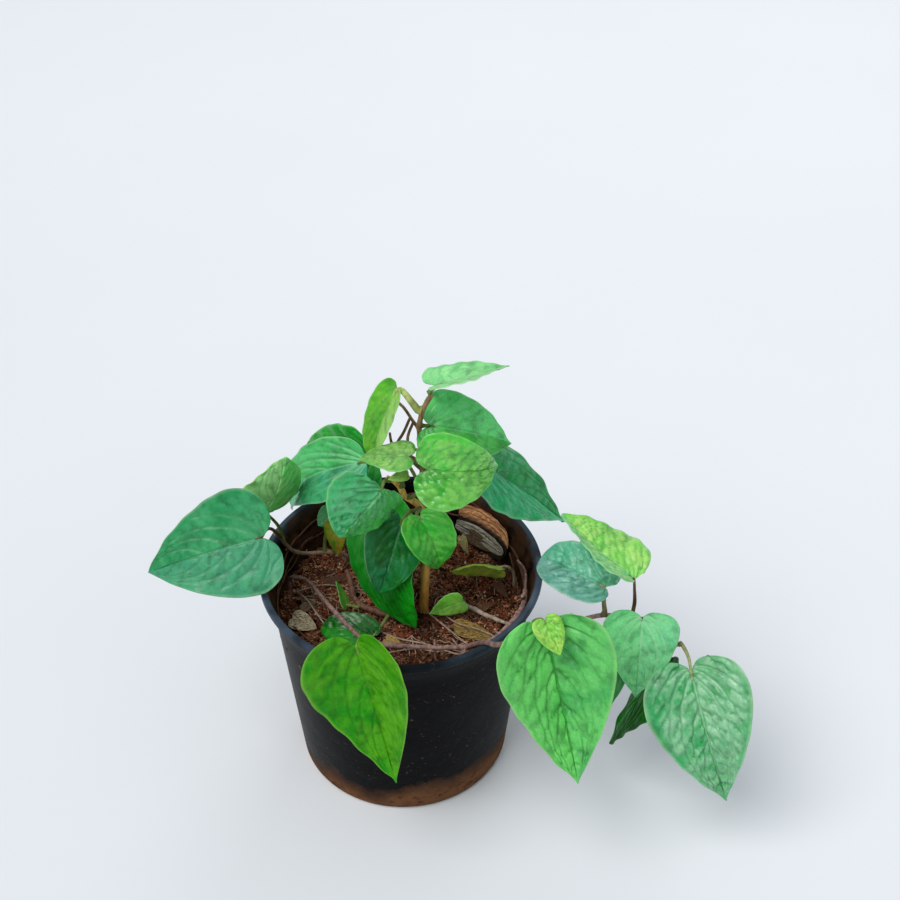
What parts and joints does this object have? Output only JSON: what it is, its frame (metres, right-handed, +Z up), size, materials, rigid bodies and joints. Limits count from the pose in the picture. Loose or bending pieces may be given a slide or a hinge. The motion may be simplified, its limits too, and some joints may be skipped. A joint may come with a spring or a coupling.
{
  "type": "potted betel plant",
  "caption": "Young heart-leaved betel vine in a round tapered nursery pot of peat, with leaves hanging over the rim and a runner trailing to one side.",
  "frame": {"origin": "centre of the pot's flat underside, on the ground", "axes": "+Z up along the pot's axis; -Y towards the front, where two large leaves hang over the rim; +X towards the trailing vine"},
  "size_m": [0.3044, 0.1699, 0.2486],
  "materials": {
    "black_plastic": "thin black polypropylene, slightly shiny rim, dusty foot",
    "coco_peat": "moist red-brown coco peat",
    "stem_orange": "matt orange-brown bark",
    "stem_woody": "matt dark bark",
    "stem_brown": "matt brown bark",
    "runner_tan": "matt tan",
    "runner_pink": "matt rose pink",
    "twig_grey": "dry and matt",
    "leaf_teal": "waxy, blue-green",
    "leaf_green": "waxy",
    "leaf_bright": "waxy, bright",
    "leaf_light": "waxy, light green",
    "leaf_lime": "young and soft",
    "leaf_pale": "young, pale mint",
    "leaf_deep": "waxy, in shade",
    "leaf_dark": "glossy, dark",
    "bark_red": "rough bark",
    "bark_grey": "dry and fibrous",
    "dead_olive": "withered",
    "dead_grey": "withered"
  },
  "bodies": {
    "root": {"pot": "black_plastic", "soil": "coco_peat", "stem_main": "stem_orange", "stem_back": "stem_woody", "stem_brown": "stem_brown", "runner_left": "runner_tan", "runner_front": "runner_pink", "twig_dry": "twig_grey", "leaf_left_large": "leaf_teal", "leaf_left_folded": "leaf_light", "leaf_back_wavy": "leaf_green", "leaf_back_dark": "leaf_dark", "leaf_top_hanging": "leaf_lime", "leaf_top_pale": "leaf_pale", "leaf_upper_right": "leaf_green", "leaf_right_teal": "leaf_teal", "leaf_centre_round": "leaf_bright", "leaf_crown_small": "leaf_lime", "leaf_centre_left": "leaf_teal", "leaf_centre_small": "leaf_bright", "leaf_middle_teal": "leaf_teal", "leaf_inner_long": "leaf_deep", "leaf_inner_yellow": "leaf_lime", "leaf_inner_grey": "leaf_teal", "leaf_soil_right": "leaf_lime", "leaf_soil_narrow": "leaf_lime", "leaf_soil_glossy": "leaf_dark", "leaf_soil_tiny": "leaf_light", "leaf_front_left": "leaf_bright", "leaf_front_right": "leaf_light", "leaf_front_bud": "leaf_lime", "leaf_vine_middle": "leaf_light", "leaf_vine_end": "leaf_teal", "leaf_vine_hanging": "leaf_deep", "leaf_vine_behind": "leaf_deep", "leaf_vine_quilted": "leaf_teal", "leaf_vine_bright": "leaf_bright", "bark_strip": "bark_red", "strip_grey": "bark_grey", "leaf_dead_olive": "dead_olive", "leaf_dead_grey": "dead_grey"}
  },
  "joints": []
}
